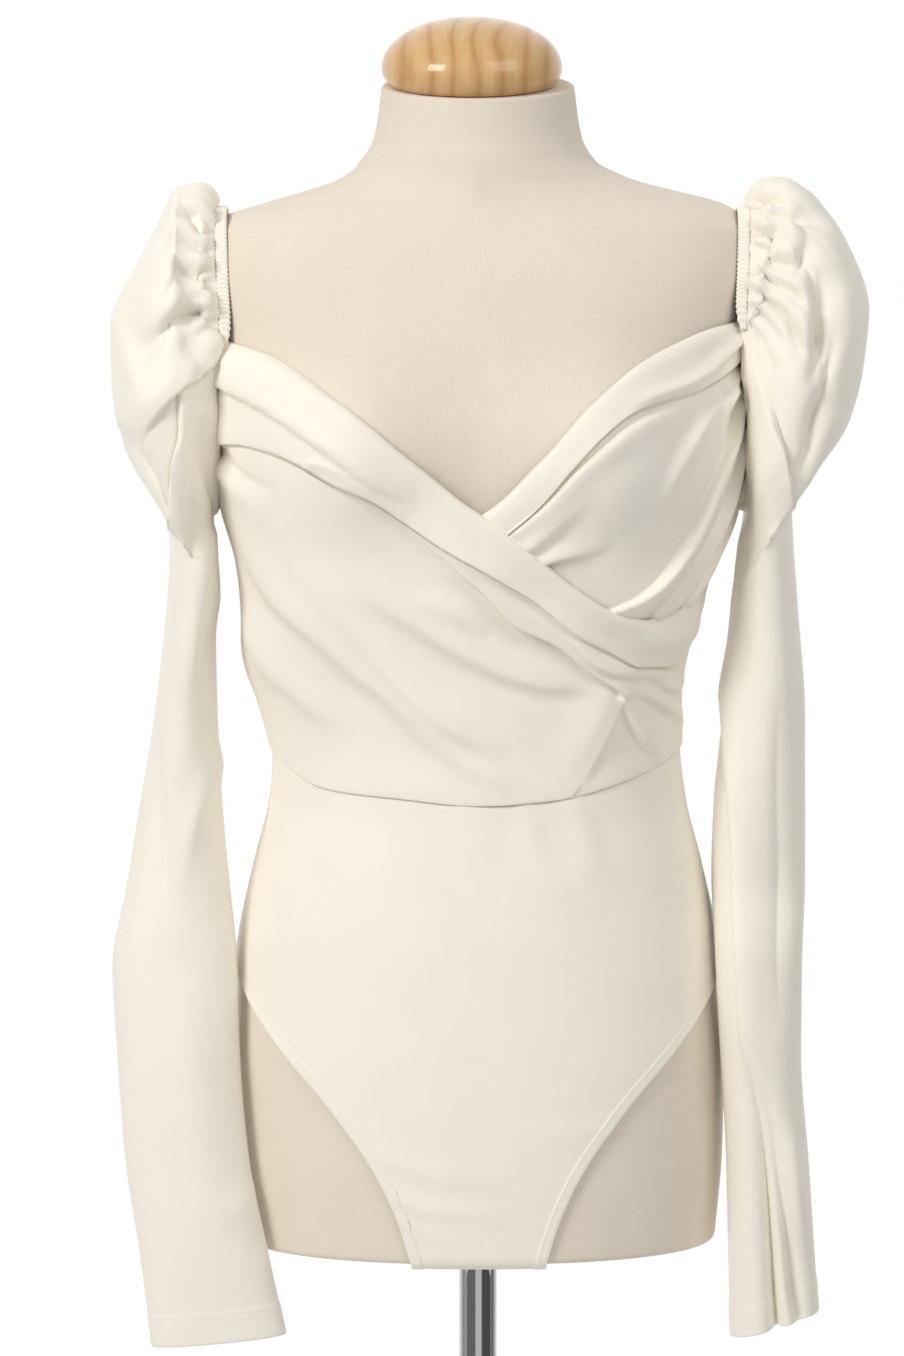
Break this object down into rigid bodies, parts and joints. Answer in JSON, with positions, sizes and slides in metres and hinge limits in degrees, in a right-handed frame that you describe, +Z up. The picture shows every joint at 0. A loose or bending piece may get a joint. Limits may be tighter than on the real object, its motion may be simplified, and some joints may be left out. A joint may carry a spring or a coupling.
{
  "type": "puff-sleeve wrap bodysuit on a dress form stand",
  "caption": "Ivory stretch bodysuit with a wrapped sweetheart front and long puffed sleeves, worn by a limbless dress form with a wooden neck cap on a chrome pole and round base.",
  "frame": {"origin": "centre of the flat underside of the stand's round base", "axes": "+Z up along the pole, -Y towards the front of the garment, +X towards the wearer's left side"},
  "size_m": [0.4968, 0.34, 1.5447],
  "materials": {
    "cloth": "smooth matt to satin ivory stretch jersey",
    "form_cover": "fine ribbed beige jersey cover",
    "varnished_wood": "glossy varnished pine",
    "chrome": "polished chrome plate",
    "snap_metal": "cream painted press studs"
  },
  "bodies": {
    "root": {"form_torso": "form_cover", "neck_cap": "varnished_wood", "stand_pole": "chrome", "stand_base": "chrome", "bodice_front_under": "cloth", "bodice_front_over": "cloth", "bodice_back": "cloth", "brief_front": "cloth", "brief_back": "cloth", "snap_front_1": "snap_metal", "snap_front_2": "snap_metal", "snap_front_3": "snap_metal", "snap_back_1": "snap_metal", "snap_back_2": "snap_metal", "snap_back_3": "snap_metal", "sleeve_right": "cloth", "sleeve_left": "cloth", "elastic_right": "cloth", "elastic_left": "cloth"}
  },
  "joints": []
}
